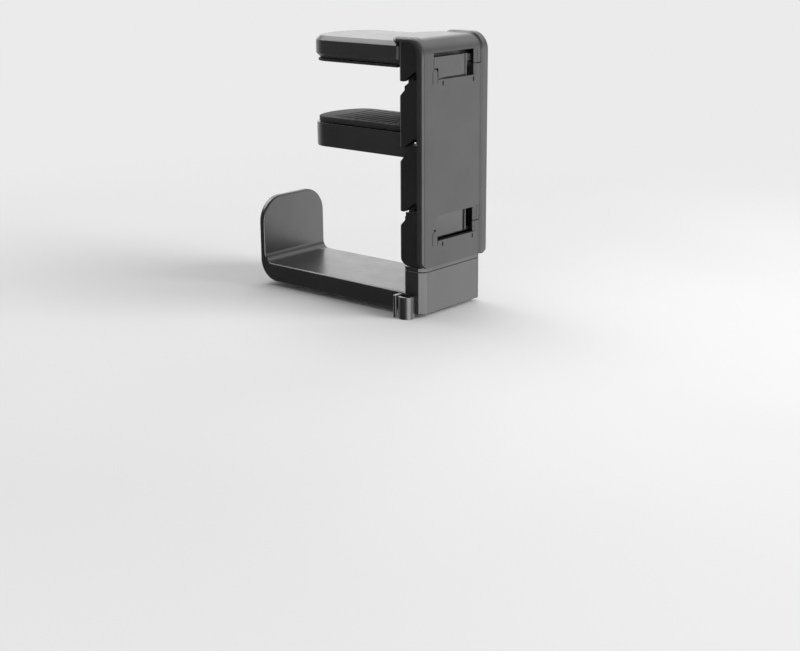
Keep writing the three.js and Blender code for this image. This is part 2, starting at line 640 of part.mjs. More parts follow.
function cableClip() {
  const plate = box(-BLOCK_HALF, CLIP_PLATE_X, CLIP_FRONT, CLIP_BACK, BLOCK_BOTTOM, CLIP_TOP);
  const centre = [-22.8, -5.7];
  const outer = 3.7;
  const inner = 2.4;
  const from = THREE.MathUtils.degToRad(-55);
  const to = THREE.MathUtils.degToRad(132);
  const curled = new THREE.Shape();
  curled.absarc(...centre, outer, from, to, true);
  curled.absarc(...centre, inner, to, from, false);
  curled.closePath();
  const rootX = -BLOCK_HALF + 0.5;
  const straight = outline([[rootX, -1.9], [-25.8, -1.9, 0.9], [-25.8, 0, 0.9], [rootX, 0]]);
  return join(plate, alongZ(curled, CLIP_BOTTOM, CLIP_TOP), alongZ(straight, CLIP_BOTTOM, CLIP_TOP));
}

// ---------- assembly ----------

function place(parent, name, shape, material, position = [0, 0, 0]) {
  const mesh = new THREE.Mesh(geometryOf(shape), material);
  mesh.name = name;
  mesh.position.set(...position);
  parent.add(mesh);
  return mesh;
}

const hook = new THREE.Group();
const clamp = new THREE.Group();
const jaw = new THREE.Group();
const turning = new THREE.Group();
hook.add(clamp, jaw, turning);
jaw.position.set(0, SLOT_Y, PIN_Z);

place(clamp, 'front_cover', frontCover(), coverPlastic());
place(clamp, 'clamp_frame', clampFrame(), framePlastic());
place(clamp, 'upper_jaw', upperJaw(), coverPlastic());
place(clamp, 'upper_jaw_pad', upperJawPad(), rubber());
place(clamp, 'jaw_pin', rod(PIN_RADIUS, -FRAME_HALF, FRAME_HALF, SLOT_Y, PIN_Z), steel());
place(clamp, 'swivel_collar', swivelCollar(), hookPlastic());
place(clamp, 'swivel_bolt', swivelBolt(), steel());
place(clamp, 'friction_washer', washer(4.4, STACK_TOP - 1, STACK_TOP), nylon());
place(clamp, 'wave_washer', waveWasher(), steel());
place(clamp, 'steel_washer', washer(4.2, STACK_TOP - 3.1, STACK_TOP - 2.5), steel());
place(clamp, 'swivel_nut', swivelNut(), steel());
for (const [side, word] of [[-1, 'left'], [1, 'right']]) {
  place(clamp, `jaw_spring_${word}`, jawSpring(side), steel(), [0, SLOT_Y, PIN_Z]);
  place(clamp, `upper_jaw_screw_${word}`, screw(2.6, 1.6, 0, -11.5), steel(),
    [side * UPPER_SCREW_X, UPPER_SCREW_Y, HOUSING_TOP - GAP]);
  place(clamp, `collar_screw_${word}`, screw(4, 1.6, 0, -5.2), steel(),
    [side * COLLAR_SCREW_X, SWIVEL_Y, BOTTOM_Z + FLOOR + GAP + 1.6]);
}

place(jaw, 'lower_jaw', lowerJaw(), hookPlastic());
place(jaw, 'lower_jaw_pad', lowerJawPad(), rubber());

place(turning, 'hook_arm', hookArm(), hookPlastic());
place(turning, 'arm_bottom_cover', armBottomCover(), hookPlastic());
place(turning, 'cable_clip', cableClip(), hookPlastic());
PLATE_SCREWS.forEach(([x, y], i) => {
  const mesh = place(turning, `arm_cover_screw_${i + 1}`, screw(2.4, 0.9, 0, -PLATE_SCREW_LENGTH), steel(),
    [x, y, BLOCK_BOTTOM]);
  mesh.rotation.x = Math.PI;
});

export default hook;
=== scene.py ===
"""A clamp-on headphone hook for a desk edge, dressed around its CAD frame.

Metres, +X along the desk edge, +Y in over the desk, +Z up. Shapes are drawn in millimetres.
"""

import json
import math

import bmesh
import bpy
from mathutils import Matrix, Vector


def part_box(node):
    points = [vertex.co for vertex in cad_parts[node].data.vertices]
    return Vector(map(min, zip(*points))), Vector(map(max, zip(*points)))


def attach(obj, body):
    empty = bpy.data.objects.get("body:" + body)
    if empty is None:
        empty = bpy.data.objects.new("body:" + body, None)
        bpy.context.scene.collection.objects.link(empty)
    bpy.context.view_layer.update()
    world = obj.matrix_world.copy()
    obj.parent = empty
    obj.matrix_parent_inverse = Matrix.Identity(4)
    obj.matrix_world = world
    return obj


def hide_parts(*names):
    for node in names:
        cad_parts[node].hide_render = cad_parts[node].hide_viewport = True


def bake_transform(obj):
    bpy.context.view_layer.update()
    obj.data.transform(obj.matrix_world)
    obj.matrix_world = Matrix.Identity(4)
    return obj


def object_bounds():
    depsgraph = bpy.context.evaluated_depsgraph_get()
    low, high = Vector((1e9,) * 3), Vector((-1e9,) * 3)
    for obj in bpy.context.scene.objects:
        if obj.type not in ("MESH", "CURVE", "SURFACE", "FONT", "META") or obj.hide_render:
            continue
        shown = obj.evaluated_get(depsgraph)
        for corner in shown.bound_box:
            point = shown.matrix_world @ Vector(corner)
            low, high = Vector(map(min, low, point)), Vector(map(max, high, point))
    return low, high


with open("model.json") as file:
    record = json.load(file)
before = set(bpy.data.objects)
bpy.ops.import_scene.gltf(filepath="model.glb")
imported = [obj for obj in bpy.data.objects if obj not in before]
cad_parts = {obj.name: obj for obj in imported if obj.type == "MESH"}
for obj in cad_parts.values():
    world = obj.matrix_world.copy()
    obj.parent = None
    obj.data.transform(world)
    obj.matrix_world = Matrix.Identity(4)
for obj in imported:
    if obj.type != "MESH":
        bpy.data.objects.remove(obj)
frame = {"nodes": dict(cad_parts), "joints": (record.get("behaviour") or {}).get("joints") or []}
CAD_LOW, CAD_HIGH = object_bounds()
MM = 0.001
THROUGH = 1.0  # how far a cutter passes a face
FIT = 0.15  # visible fit line between two mouldings
UP = Vector((0, 0, 1))


# ---------- places taken from the frame ----------

def box(node):
    """Lowest and highest corner of a CAD node, in millimetres."""
    low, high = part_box(node)
    return low / MM, high / MM


def joint(name):
    """Axis point of a joint, in millimetres."""
    found = next(j for j in frame["joints"] if j["name"] == name)
    return Vector(found["pos_m"]) / MM


PIN = joint("lower_jaw_pivot")
SWIVEL = joint("arm_swivel")


# ---------- mesh tools ----------

def outline(corners, steps=8):
    """Points of a closed outline; a corner (u, v, radius) becomes an arc."""
    points = []
    for i, corner in enumerate(corners):
        here = Vector(corner[:2])
        radius = corner[2] if len(corner) > 2 else 0
        if radius == 0:
            points.append(here)
            continue
        before = (Vector(corners[i - 1][:2]) - here).normalized()
        after = (Vector(corners[(i + 1) % len(corners)][:2]) - here).normalized()
        half = before.angle(after) / 2
        centre = here + (before + after).normalized() * (radius / math.sin(half))
        start = here + before * (radius / math.tan(half)) - centre
        end = here + after * (radius / math.tan(half)) - centre
        first = math.atan2(start.y, start.x)
        sweep = math.atan2(end.y, end.x) - first
        sweep = (sweep + math.pi) % (2 * math.pi) - math.pi
        for k in range(steps + 1):
            angle = first + sweep * k / steps
            points.append(centre + Vector((math.cos(angle), math.sin(angle))) * radius)
    return points


def rectangle(u0, u1, v0, v1, radius=0.0, steps=6):
    corners = ((u0, v0), (u1, v0), (u1, v1), (u0, v1))
    return outline([(u, v, radius) for u, v in corners], steps)


def arc(centre, radius, start, end, steps):
    """Points of an arc between two angles in degrees."""
    angles = [math.radians(start + (end - start) * k / steps) for k in range(steps + 1)]
    return [Vector(centre) + Vector((math.cos(a), math.sin(a))) * radius for a in angles]


def new_object(name, bm):
    bmesh.ops.recalc_face_normals(bm, faces=bm.faces)
    mesh = bpy.data.meshes.new(name)
    bm.to_mesh(mesh)
    bm.free()
    obj = bpy.data.objects.new(name, mesh)
    bpy.context.scene.collection.objects.link(obj)
    return obj


def prism(points, axis, low, high):
    """A solid with the outline's shape, carried along an axis from low to high."""
    place = {
        "X": lambda u, v, w: (w, u, v),
        "Y": lambda u, v, w: (u, w, v),
        "Z": lambda u, v, w: (u, v, w),
    }[axis]
    bm = bmesh.new()
    ends = [[bm.verts.new(Vector(place(u, v, w)) * MM) for u, v in points]
            for w in (low, high)]
    for end in ends:
        bm.faces.new(end)
    for i in range(len(points)):
        bm.faces.new((ends[0][i - 1], ends[0][i], ends[1][i], ends[1][i - 1]))
    return new_object("prism", bm)


def block(x0, x1, y0, y1, z0, z1):
    return prism(rectangle(x0, x1, y0, y1), "Z", z0, z1)


def turned(profile, sides=48):
    """A solid of revolution about Z from (radius, z) points that start and end on the axis."""
    bm = bmesh.new()
    rings = []
    for radius, z in profile:
        if radius == 0:
            rings.append([bm.verts.new(Vector((0, 0, z)) * MM)])
            continue
        angles = [2 * math.pi * k / sides for k in range(sides)]
        circle = [Vector((radius * math.cos(a), radius * math.sin(a), z)) for a in angles]
        rings.append([bm.verts.new(point * MM) for point in circle])
    for lower, upper in zip(rings, rings[1:]):
        for k in range(sides):
            after = (k + 1) % sides
            corners = [lower[k % len(lower)], lower[after % len(lower)],
                       upper[after % len(upper)], upper[k % len(upper)]]
            unique = list(dict.fromkeys(corners))
            if len(unique) > 2:
                bm.faces.new(unique)
    return new_object("turned", bm)


def round_bar(radius, length, sides=48):
    """A plain cylinder about Z, centred on the origin, used as a cutter or a boss."""
    end = length / 2
    return turned([(0, -end), (radius, -end), (radius, end), (0, end)], sides)


def moved(obj, x=0.0, y=0.0, z=0.0, turn=None):
    """Turns the mesh, then shifts it by millimetres."""
    if turn is not None:
        obj.data.transform(turn)
    obj.data.transform(Matrix.Translation(Vector((x, y, z)) * MM))
    return obj


def bake(obj):
    """Replaces the mesh with its own modified shape."""
    depsgraph = bpy.context.evaluated_depsgraph_get()
    mesh = bpy.data.meshes.new_from_object(obj.evaluated_get(depsgraph))
    obj.modifiers.clear()
    old = obj.data
    obj.data = mesh
    bpy.data.meshes.remove(old)


def tidy(obj):
    """Welds points and drops the flat seams that boolean cuts leave."""
    weld = 0.002 * MM
    bm = bmesh.new()
    bm.from_mesh(obj.data)
    bmesh.ops.remove_doubles(bm, verts=bm.verts, dist=weld)
    bmesh.ops.dissolve_degenerate(bm, edges=bm.edges, dist=weld)
    bmesh.ops.dissolve_limit(bm, angle_limit=math.radians(0.5), verts=bm.verts, edges=bm.edges)
    bm.to_mesh(obj.data)
    bm.free()


def combine(obj, operation, *others):
    """Applies one boolean after another and uses up the other solids."""
    for other in others:
        modifier = obj.modifiers.new("combine", "BOOLEAN")
        modifier.solver = "EXACT"
        modifier.operation = operation
        modifier.object = other
        bake(obj)
        bpy.data.objects.remove(other)
    tidy(obj)
    return obj


def cut(obj, *others):
    return combine(obj, "DIFFERENCE", *others)


def join(obj, *others):
    return combine(obj, "UNION", *others)


def trim(obj, *others):
    return combine(obj, "INTERSECT", *others)


def round_edges(obj, radius, segments=3, angle=35, clamp=True):
    """Rounds every edge that bends by more than the angle."""
    modifier = obj.modifiers.new("round", "BEVEL")
    modifier.width = radius * MM
    modifier.segments = segments
    modifier.limit_method = "ANGLE"
    modifier.angle_limit = math.radians(angle)
    modifier.use_clamp_overlap = clamp
    modifier.miter_outer = "MITER_ARC"
    bake(obj)
    return obj


def smooth(obj, angle=32):
    """Smooth shading that follows the flat faces and stays sharp past the angle."""
    mesh = obj.data
    mesh.polygons.foreach_set("use_smooth", [True] * len(mesh.polygons))
    mesh.set_sharp_from_angle(angle=math.radians(angle))
    modifier = obj.modifiers.new("even shading", "WEIGHTED_NORMAL")
    modifier.keep_sharp = True
    modifier.weight = 80


def piece(obj, name, body, slot, *nodes):
    """Names a finished piece and ties it to its body, finish and CAD nodes."""
    obj.name = name
    obj.data.name = name
    obj.data.materials.clear()
    obj.data.materials.append(FINISH[slot])
    smooth(obj)
    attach(obj, body)
    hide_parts(*nodes)
    return obj


# ---------- materials ----------

def node(tree, kind, **inputs):
    """A shader node with its inputs set; a value that is a socket is linked."""
    made = tree.nodes.new(kind)
    for key, value in inputs.items():
        if key.startswith("set_"):
            setattr(made, key[4:], value)
            continue
        socket = made.inputs[key.replace("_", " ")]
        if isinstance(value, bpy.types.NodeSocket):
            tree.links.new(value, socket)
        else:
            socket.default_value = value
    return made


def grey(level, tint=(1.0, 1.0, 1.0)):
    return (level * tint[0], level * tint[1], level * tint[2], 1)


def ramp(tree, value, low, high, from_low=0.0, from_high=1.0):
    """Maps a value from one range to another."""
    made = node(tree, "ShaderNodeMapRange", Value=value, From_Min=from_low, From_Max=from_high,
                To_Min=low, To_Max=high)
    return made.outputs["Result"]


def noise(tree, where, scale, detail=3.0, roughness=0.5):
    return node(tree, "ShaderNodeTexNoise", Vector=where, Scale=scale, Detail=detail,
                Roughness=roughness).outputs["Fac"]


def two_tone(tree, amount, low, high):
    """A colour that goes from one to the other as the amount goes from 0 to 1."""
    made = node(tree, "ShaderNodeMix", set_data_type="RGBA", Factor=amount)
    made.inputs["A"].default_value = low
    made.inputs["B"].default_value = high
    return made


def add_bump(tree, shader, height, strength, depth):
    """Relief from a height value, its depth in millimetres."""
    bump = node(tree, "ShaderNodeBump", Strength=strength, Distance=depth * MM, Height=height)
    tree.links.new(bump.outputs["Normal"], shader.inputs["Normal"])


def worn_edges(tree, radius):
    """1 on an edge and 0 on a flat face, from how far a rounded normal leans away."""
    rounded = node(tree, "ShaderNodeBevel", Radius=radius * MM, set_samples=4)
    true = node(tree, "ShaderNodeNewGeometry")
    lean = node(tree, "ShaderNodeVectorMath", set_operation="DOT_PRODUCT")
    tree.links.new(rounded.outputs["Normal"], lean.inputs[0])
    tree.links.new(true.outputs["Normal"], lean.inputs[1])
    return ramp(tree, lean.outputs["Value"], 1.0, 0.0, 0.75, 0.98)


def material(name):
    made = bpy.data.materials.new(name)
    made.use_nodes = True
    tree = made.node_tree
    tree.nodes.clear()
    shader = node(tree, "ShaderNodeBsdfPrincipled")
    out = node(tree, "ShaderNodeOutputMaterial")
    tree.links.new(shader.outputs["BSDF"], out.inputs["Surface"])
    where = node(tree, "ShaderNodeTexCoord").outputs["Object"]
    return made, tree, shader, where


def moulded_plastic(name, level, roughness, shine):
    """Black moulded plastic: spark-eroded grain, faint clouds, handled patches, polished edges."""
    tint = (1.0, 1.0, 1.03)
    made, tree, shader, where = material(name)
    cloud = noise(tree, where, scale=55, detail=4, roughness=0.55)
    patches = noise(tree, where, scale=140, detail=2, roughness=0.6)
    pits = node(tree, "ShaderNodeTexVoronoi", Vector=where, Scale=3600, set_feature="SMOOTH_F1")
    fine = noise(tree, where, scale=5200, detail=2, roughness=0.6)
    edge = worn_edges(tree, 0.35)
    base = two_tone(tree, ramp(tree, cloud, 0.0, 1.0, 0.3, 0.7),
                    grey(level * 0.9, tint), grey(level * 1.12, tint))
    worn = node(tree, "ShaderNodeMix", set_data_type="RGBA", Factor=ramp(tree, edge, 0.0, 0.55))
    tree.links.new(base.outputs["Result"], worn.inputs["A"])
    worn.inputs["B"].default_value = grey(level * 1.7, tint)
    tree.links.new(worn.outputs["Result"], shader.inputs["Base Color"])
    blotchy = ramp(tree, patches, roughness - 0.02, roughness + 0.03, 0.3, 0.7)
    polished = node(tree, "ShaderNodeMath", set_operation="MULTIPLY_ADD")
    tree.links.new(edge, polished.inputs[0])
    polished.inputs[1].default_value = -0.08
    tree.links.new(blotchy, polished.inputs[2])
    tree.links.new(polished.outputs["Value"], shader.inputs["Roughness"])
    height = node(tree, "ShaderNodeMath", set_operation="ADD")
    tree.links.new(pits.outputs["Distance"], height.inputs[0])
    tree.links.new(fine, height.inputs[1])
    add_bump(tree, shader, height.outputs["Value"], strength=0.07, depth=0.03)
    shader.inputs["Specular IOR Level"].default_value = shine
    return made


def rubber(name):
    """Matt black rubber with a dusty bloom and a coarse skin."""
    made, tree, shader, where = material(name)
    bloom = noise(tree, where, scale=260, detail=5, roughness=0.65)
    skin = noise(tree, where, scale=2400, detail=3, roughness=0.7)
    base = two_tone(tree, ramp(tree, bloom, 0.0, 1.0, 0.35, 0.75), grey(0.006), grey(0.014))
    tree.links.new(base.outputs["Result"], shader.inputs["Base Color"])
    tree.links.new(ramp(tree, bloom, 0.75, 0.95), shader.inputs["Roughness"])
    add_bump(tree, shader, skin, strength=0.35, depth=0.05)
    shader.inputs["Sheen Weight"].default_value = 0.08
    return made


def plated_steel(name):
    """Zinc-plated steel: brushed streaks and mottled plating."""
    made, tree, shader, where = material(name)
    mottle = noise(tree, where, scale=900, detail=4, roughness=0.6)
    stretched = node(tree, "ShaderNodeMapping", Vector=where, Scale=(9000, 9000, 700))
    streaks = noise(tree, stretched.outputs["Vector"], scale=1.0, detail=3, roughness=0.6)
    base = two_tone(tree, ramp(tree, mottle, 0.0, 1.0, 0.3, 0.7),
                    (0.42, 0.43, 0.45, 1), (0.60, 0.60, 0.58, 1))
    tree.links.new(base.outputs["Result"], shader.inputs["Base Color"])
    shader.inputs["Metallic"].default_value = 1.0
    tree.links.new(ramp(tree, streaks, 0.22, 0.42, 0.3, 0.7), shader.inputs["Roughness"])
    add_bump(tree, shader, streaks, strength=0.15, depth=0.02)
    return made


def nylon(name):
    """Off-white nylon, slightly translucent and waxy."""
    made, tree, shader, where = material(name)
    cloud = noise(tree, where, scale=700, detail=3, roughness=0.5)
    base = two_tone(tree, ramp(tree, cloud, 0.0, 1.0, 0.3, 0.7),
                    (0.62, 0.58, 0.50, 1), (0.72, 0.69, 0.61, 1))
    tree.links.new(base.outputs["Result"], shader.inputs["Base Color"])
    tree.links.new(ramp(tree, cloud, 0.4, 0.55), shader.inputs["Roughness"])
    shader.inputs["Subsurface Weight"].default_value = 0.2
    shader.inputs["Subsurface Scale"].default_value = 0.5 * MM
    add_bump(tree, shader, cloud, strength=0.1, depth=0.02)
    return made


FINISH = {  # name, base level, roughness, specular level
    "cover_plastic": moulded_plastic("cover_plastic", 0.037, 0.30, 0.29),
    "frame_plastic": moulded_plastic("frame_plastic", 0.014, 0.34, 0.55),
    "hook_plastic": moulded_plastic("hook_plastic", 0.026, 0.30, 0.6),
    "rubber": rubber("rubber"),
    "steel": plated_steel("steel"),
    "nylon": nylon("nylon"),
}


# ---------- shared outlines ----------

TIP_RADIUS = 27.0  # curve of the jaws' tips and of the cover's tongue
BLOCK_CHAMFER = 2.7
SCREW_HOLE = 1.55  # radius of a clearance hole


def tip_plan(half, back, peak, shoulder):
    """Plan of a jaw or pad: straight sides, curved tip, rounded shoulders."""
    centre = peak - TIP_RADIUS
    meet = centre + math.sqrt(TIP_RADIUS ** 2 - half ** 2)
    reach = math.degrees(math.asin(half / TIP_RADIUS) - shoulder / TIP_RADIUS)
    tip = arc((0, centre), TIP_RADIUS, 90 - reach, 90 + reach, 36)

    def shoulder_curve(side, end):
        straight, corner = Vector((side * half, meet - shoulder)), Vector((side * half, meet))
        bends = [k / 10 for k in range(10)]
        return [straight * (1 - t) ** 2 + corner * (2 * t * (1 - t)) + end * t ** 2 for t in bends]

    right = shoulder_curve(1, tip[0])
    left = shoulder_curve(-1, tip[-1])
    return [Vector((-half, back)), Vector((half, back)), *right, *tip, *reversed(left)]


def block_plan(low, high):
    """Plan of the neck and the turning block: a rectangle with chamfered corners."""
    x0, y0, x1, y1 = low.x, low.y, high.x, high.y
    c = BLOCK_CHAMFER
    return [Vector(p) for p in (
        (x0, y0 + c), (x0 + c, y0), (x1 - c, y0), (x1, y0 + c),
        (x1, y1 - c), (x1 - c, y1), (x0 + c, y1), (x0, y1 - c))]


# ---------- clamp housing ----------

COVER_WALL = 1.8  # front wall
COVER_RIM = 3.0  # depth of the cover at its sides
COVER_TOP = 2.0  # thickness of the tongue
COVER_CORNER = 8.0  # round corner between front and tongue
COVER_EDGE = 1.8  # rounding of the side edges
LOWER_CORNER = 4.5  # lower corners of the front face
PANEL_HALF = 18.5  # half width of the sunk panel at the skin
PANEL_SINK = 0.7
WINDOW = (-14.6, 14.8)  # left and right edge of both windows
WINDOW_HEIGHTS = ((-4.6, 6.8), (-74.4, -63.0))  # foot and top of each
TAB = (-15.4, -11.8)  # tongue-shaped tab over each window's lower corner
EAR = (15.3, 17.5)  # outlined ear to the right of each window


def front_cover():
    low, high = box("front_cover")
    half, front, back, bottom, top = high.x, low.y, high.y, low.z, high.z
    spare = 5 * THROUGH  # the skin runs on below, so that its bottom edge stays sharp
    skin = inside_cover(high, front, bottom - spare, top, COVER_CORNER)
    shell = prism(skin, "X", -half, half)
    trim(shell, prism(tongue_plan(half, front, back), "Z", bottom - spare - THROUGH, top + THROUGH))
    round_edges(shell, COVER_EDGE, segments=8, clamp=False)
    face = outline([
        (-half, bottom, LOWER_CORNER), (half, bottom, LOWER_CORNER),
        (half, top + THROUGH), (-half, top + THROUGH)], steps=12)
    trim(shell, prism(face, "Y", front - THROUGH, back + 2 * THROUGH))
    inner = box("clamp_frame")[1].x + FIT
    wall, corner, ceiling = front + COVER_WALL, front + COVER_CORNER, top - COVER_TOP
    behind = inside_cover(high, front + COVER_RIM, bottom - THROUGH, ceiling,
                          COVER_CORNER - COVER_RIM)
    pocket = outline([
        (wall, bottom - THROUGH), (corner, bottom - THROUGH), (corner, ceiling),
        (wall, ceiling, COVER_CORNER - COVER_WALL)], steps=16)
    cut(shell, prism(behind, "X", -half - THROUGH, half + THROUGH),
        prism(pocket, "X", -inner, inner), sunk_panel(low, high))
    round_edges(shell, 0.15, segments=2, angle=40)
    for window in WINDOW_HEIGHTS:
        cut(shell, *window_cutters(front, *window))
    round_edges(shell, 0.1, segments=2, angle=50)
    return piece(shell, "front_cover_shell", "clamp_body", "cover_plastic", "front_cover")


def tongue_plan(half, front, back):
    """Plan of the cover: straight front and sides, and the tongue's curved end."""
    reach = math.degrees(math.asin(half / TIP_RADIUS))
    end = arc((0, back - TIP_RADIUS), TIP_RADIUS, 90 - reach, 90 + reach, 40)
    return [Vector((-half, front - THROUGH)), Vector((half, front - THROUGH)), *end]


def inside_cover(high, front, bottom, top, radius):
    """Side view of the corner behind a skin line: down to the bottom and back past the tongue."""
    back = high.y + 4 * THROUGH
    return outline([(front, bottom), (back, bottom), (back, top), (front, top, radius)], steps=16)


def sunk_panel(low, high):
    """What is taken off the skin between the rims; the rims slope down to the panel."""
    front, back, bottom, top = low.y, high.y + THROUGH, low.z - THROUGH, high.z
    levels = ((-THROUGH, PANEL_HALF + THROUGH), (PANEL_SINK, PANEL_HALF - PANEL_SINK))
    bm = bmesh.new()
    rows = []
    for sink, half in levels:
        line = outline([
            (front + sink, bottom), (front + sink, top - sink, COVER_CORNER - sink),
            (back, top - sink)], steps=16)
        for x in (-half, half):
            rows.append([bm.verts.new(Vector((x, p.x, p.y)) * MM) for p in line])
    out_left, out_right, in_left, in_right = rows
    around = (out_left, out_right, in_right, in_left)
    for k in range(4):
        a, b = around[k], around[(k + 1) % 4]
        for i in range(len(a) - 1):
            bm.faces.new((a[i], a[i + 1], b[i + 1], b[i]))
    for i in (0, -1):
        bm.faces.new([row[i] for row in around])
    return new_object("sunk panel", bm)


def window_cutters(front, low, high):
    """The opening with a slanted right wall, its relief slits, and the tab and ear beside it."""
    before, deep, panel = front - THROUGH, front + COVER_RIM + THROUGH, front + PANEL_SINK
    x0, x1 = WINDOW
    slant, engraved = 1.0, 0.3
    opening = [Vector(p) for p in (
        (x0, before), (x1, before), (x1, panel), (x1 - slant, panel + slant),
        (x1 - slant, deep), (x0, deep))]
    slits = [
        prism(rectangle(x - 0.4, x + 0.4, low - 2.7, low - 0.6, 0.3, 3), "Y", before, deep)
        for x in (-8.4, 12.6)
    ]
    level = high - 6.4
    side_slit = rectangle(x1 - THROUGH, EAR[1], level - 0.22, level + 0.22)
    slits.append(prism(side_slit, "Y", before, deep))
    tab, tab_core = tab_outline(low, 0.0, -1.6), tab_outline(low, 0.3, -2.0)
    ear = rectangle(EAR[0], EAR[1], level, high + 0.3)
    ear_core = rectangle(EAR[0] + 0.25, EAR[1] - 0.25, level - 1, high + 0.05)
    rings = [
        cut(prism(outer, "Y", before, panel + engraved), prism(core, "Y", before - THROUGH, deep))
        for outer, core in ((tab, tab_core), (ear, ear_core))
    ]
    hole = cut(prism(opening, "Z", low, high), prism(tab, "Y", before - THROUGH, deep + THROUGH))
    return [hole, *slits, *rings]


def tab_outline(low, inset, foot):
    """A tab with a round top, drawn inwards by the inset and down to the foot."""
    x0, x1 = TAB[0] + inset, TAB[1] - inset
    radius, crown = 1.75 - inset, low + 4.6 - inset
    return outline([
        (x0, low + foot), (x1, low + foot), (x1, crown, radius), (x0, crown, radius)], steps=8)


NOTCH_PITCH = 28.0  # the jaw hooks in at three heights
NOTCHES = [PIN.z + NOTCH_PITCH * i for i in (1, 0, -1)]
WALL = 2.6  # side walls of the frame
WEB = 1.1  # front web of the frame
SHELF_LOW = -1.2  # underside of the shelf that carries the upper jaw
RIBS = (-17.4, -45.4, -73.0)  # heights of the ribs between the side walls
RIB_HALF = 0.8
CATCH_END = 9.3  # free end of the plate in a window
CATCH_GAPS = ((0.9, 1.8), (1.8, 0.2))  # below and above the plate in each window
REAR_WALL = (-1.6, -62.5)  # its front and its top
MOUTH_LOW = -71.0  # foot of the lowest notch's mouth
FIN_X = 15.2  # inner face of the upright fins behind the windows
FIN_HEIGHTS = ((-17.4, 0), (-77, -58))
JAW_SCREWS = ((-9.0, -6.0), (9.0, -6.0))  # places of the upper jaw's screws
NECK_SCREWS = (-14.0, 14.0)  # the neck plate's screws, beside the swivel's axis


def notch(height, half):
    """A mouth in the rear edge, a slot that rises from it, and a seat for the pin."""
    ledge, foot = height - 0.2, height - 11
    mouth = outline([
        (2, ledge), (0, ledge), (0, height - 1.65, 1.1), (-3.6, height - 1.9, 0.5),
        (-3.6, height - 5.4, 0.5), (-0.6, height - 8.4), (2, foot)], steps=6)
    turn = Vector((PIN.y, height + 1.5))
    run = Vector((-2.6, height - 3.2)) - turn
    across = Vector((-run.y, run.x)).normalized()
    tilt = math.degrees(math.atan2(across.y, across.x))
    slot = [*arc(turn, 1, tilt, tilt + 180, 16), turn + run - across, turn + run + across]
    seat = rectangle(PIN.y - 1, PIN.y + 1, height - 1, turn.y + 1, 0.99, 10)
    return [prism(points, "X", -half, half) for points in (mouth, slot, seat)]


def clamp_frame():
    low, high = box("clamp_frame")
    half, back, bottom, top = high.x, high.y, low.z, high.z
    front = box("front_cover")[0].y + COVER_WALL + FIT
    before, behind = front - THROUGH, back + THROUGH
    inside, web = half - WALL, front + WEB
    shelf_top, floor_top = box("upper_jaw_pad")[1].z, bottom + 3
    side = outline([(front, bottom), (back, bottom, 6), (back, top), (front, top, 5.9)], steps=12)
    plan = outline([
        (-half, before), (half, before), (half, back, 1.9), (-half, back, 1.9)], steps=10)
    body = prism(side, "X", -half, half)
    trim(body, prism(plan, "Z", bottom - THROUGH, top + THROUGH))
    levels = [SHELF_LOW, *[z + s for z in RIBS for s in (RIB_HALF, -RIB_HALF)], floor_top]
    rooms = [block(-inside, inside, web, behind, z0, z1)
             for z1, z0 in zip(levels[::2], levels[1::2])]
    cut(body, *rooms,
        block(-inside, inside, -4, behind, floor_top, SHELF_LOW),
        block(-inside, inside, web, behind, shelf_top, top + THROUGH),
        block(-inside, inside, before, web + THROUGH, WINDOW_HEIGHTS[0][1] + 1, top + THROUGH))
    for (z0, z1), (under, over) in zip(WINDOW_HEIGHTS, CATCH_GAPS):
        gap = (z0, z0 + under) if under > over else (z1 - over, z1)
        cut(body, block(CATCH_END, WINDOW[1], before, web + THROUGH, z0, z1),
            block(WINDOW[0], CATCH_END + 0.7, before, web + THROUGH, *gap))
        catch = window_catch(front, web, z0 + under, z1 - over)
        room_for_tab = block(-16, -11.5, before - THROUGH, front, z0 - 1, z0 + 4.9)
        join(body, cut(catch, room_for_tab))
    for height in NOTCHES:
        cut(body, *notch(height, half + THROUGH))
    fins = [block(x, x + 1, web - 0.5, REAR_WALL[0], *heights)
            for x in (-FIN_X - 1, FIN_X) for heights in FIN_HEIGHTS]
    join(body, rear_wall(side, inside + 0.5, floor_top - 0.5), *fins)
    holes = [moved(round_bar(SCREW_HOLE, 6), x, y, 0) for x, y in JAW_SCREWS]
    holes += [moved(round_bar(3.2, 8), x, SWIVEL.y, bottom + 1.5) for x in NECK_SCREWS]
    holes.append(moved(round_bar(2.2, 8), 0, SWIVEL.y, bottom + 1.5))
    cut(body, *holes)
    round_edges(body, 0.25, segments=2, angle=40)
    return piece(body, "clamp_frame_moulding", "clamp_body", "frame_plastic", "clamp_frame")


def rear_wall(side, outer, foot):
    """Closes the back below the lowest notch, set in where the mouths open beside it."""
    front, top = REAR_WALL
    inner, behind = 16.4, 2
    wall = trim(prism(side, "X", -outer, outer),
                block(-outer - 2, outer + 2, front, behind, foot, top))
    beside = [block(x, x + 7, front - 1.4, behind, MOUTH_LOW, top + 2.5)
              for x in (-inner - 7, inner)]
    return cut(wall, *beside)


def window_catch(front, web, z0, z1):
    """The snap plate in a window: it slopes away and curls in at its free end."""
    left, bend = WINDOW[0] + 0.3, 1.4
    pad = [Vector((left, web)), Vector((CATCH_END, web)),
           *arc((CATCH_END - bend, front + 0.55), bend, 0, 75, 8),
           Vector((6.5, front - 0.85)), Vector((left, front - 1.2))]
    return prism(pad, "Z", z0, z1)


# ---------- screws, jaws and pads ----------

SCREW_THREAD = 1.25  # radius over the thread
SCREW_PITCH = 0.55
RECESS = (1.35, 0.32)  # half length and half width of the cross


